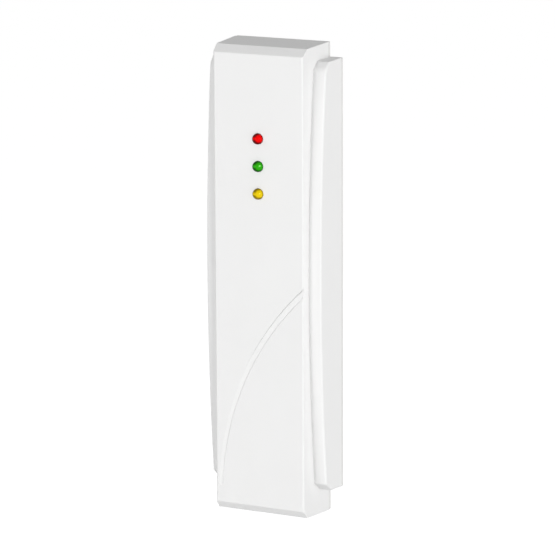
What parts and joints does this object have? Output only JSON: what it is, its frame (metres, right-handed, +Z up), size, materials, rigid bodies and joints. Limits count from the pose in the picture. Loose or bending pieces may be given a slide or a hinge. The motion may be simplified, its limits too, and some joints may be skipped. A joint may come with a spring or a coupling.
{
  "type": "card reader",
  "caption": "Slim wall-mounted proximity card reader: a white moulded cover with bowed side wings and a curved front line, red, green and yellow indicator lamps, and a flat rear base.",
  "frame": {"origin": "middle of the flat back of the base, in the plane of the wall, at half the height", "axes": "+Z up along the length, +X to the right seen from the front, the front faces -Y and the wall is at +Y"},
  "size_m": [0.036, 0.0167, 0.1298],
  "materials": {
    "white_cover": "fine matte moulded",
    "white_base": "matte moulded",
    "zinc_screw": "zinc plated",
    "rubber_grommet": "matte",
    "board_laminate": "satin solder mask",
    "red_lens": "clear tinted resin",
    "green_lens": "clear tinted resin",
    "yellow_lens": "clear tinted resin",
    "tinned_metal": "tinned",
    "spacer_plastic": "matte",
    "former_plastic": "matte",
    "copper_winding": "enamelled wire",
    "chip_resin": "fine matte",
    "crystal_metal": "drawn can",
    "capacitor_metal": "satin can",
    "black_plastic": "matte",
    "resistor_body": "glazed top",
    "capacitor_body": "fired ceramic",
    "header_plastic": "matte"
  },
  "bodies": {
    "root": {"front_cover": "white_cover", "rear_base": "white_base", "cover_screw": "zinc_screw", "cable_grommet": "rubber_grommet", "circuit_board": "board_laminate", "board_screws": "zinc_screw", "red_led": "red_lens", "green_led": "green_lens", "yellow_led": "yellow_lens", "led_leads": "tinned_metal", "led_spacer": "spacer_plastic", "coil_former": "former_plastic", "antenna_coil": "copper_winding", "coil_wires": "copper_winding", "controller_chip": "chip_resin", "controller_legs": "tinned_metal", "radio_chip": "chip_resin", "radio_chip_legs": "tinned_metal", "crystal_base": "black_plastic", "crystal_can": "crystal_metal", "capacitor_base": "black_plastic", "capacitor_can": "capacitor_metal", "buzzer": "black_plastic", "buzzer_pins": "tinned_metal", "regulator": "chip_resin", "regulator_legs": "tinned_metal", "diode": "chip_resin", "diode_straps": "tinned_metal", "transistors": "chip_resin", "transistor_legs": "tinned_metal", "cable_header": "header_plastic", "header_pins": "tinned_metal", "tamper_sensor": "chip_resin", "tamper_sensor_legs": "tinned_metal", "chip_resistors": "resistor_body", "chip_capacitors": "capacitor_body"}
  },
  "joints": []
}
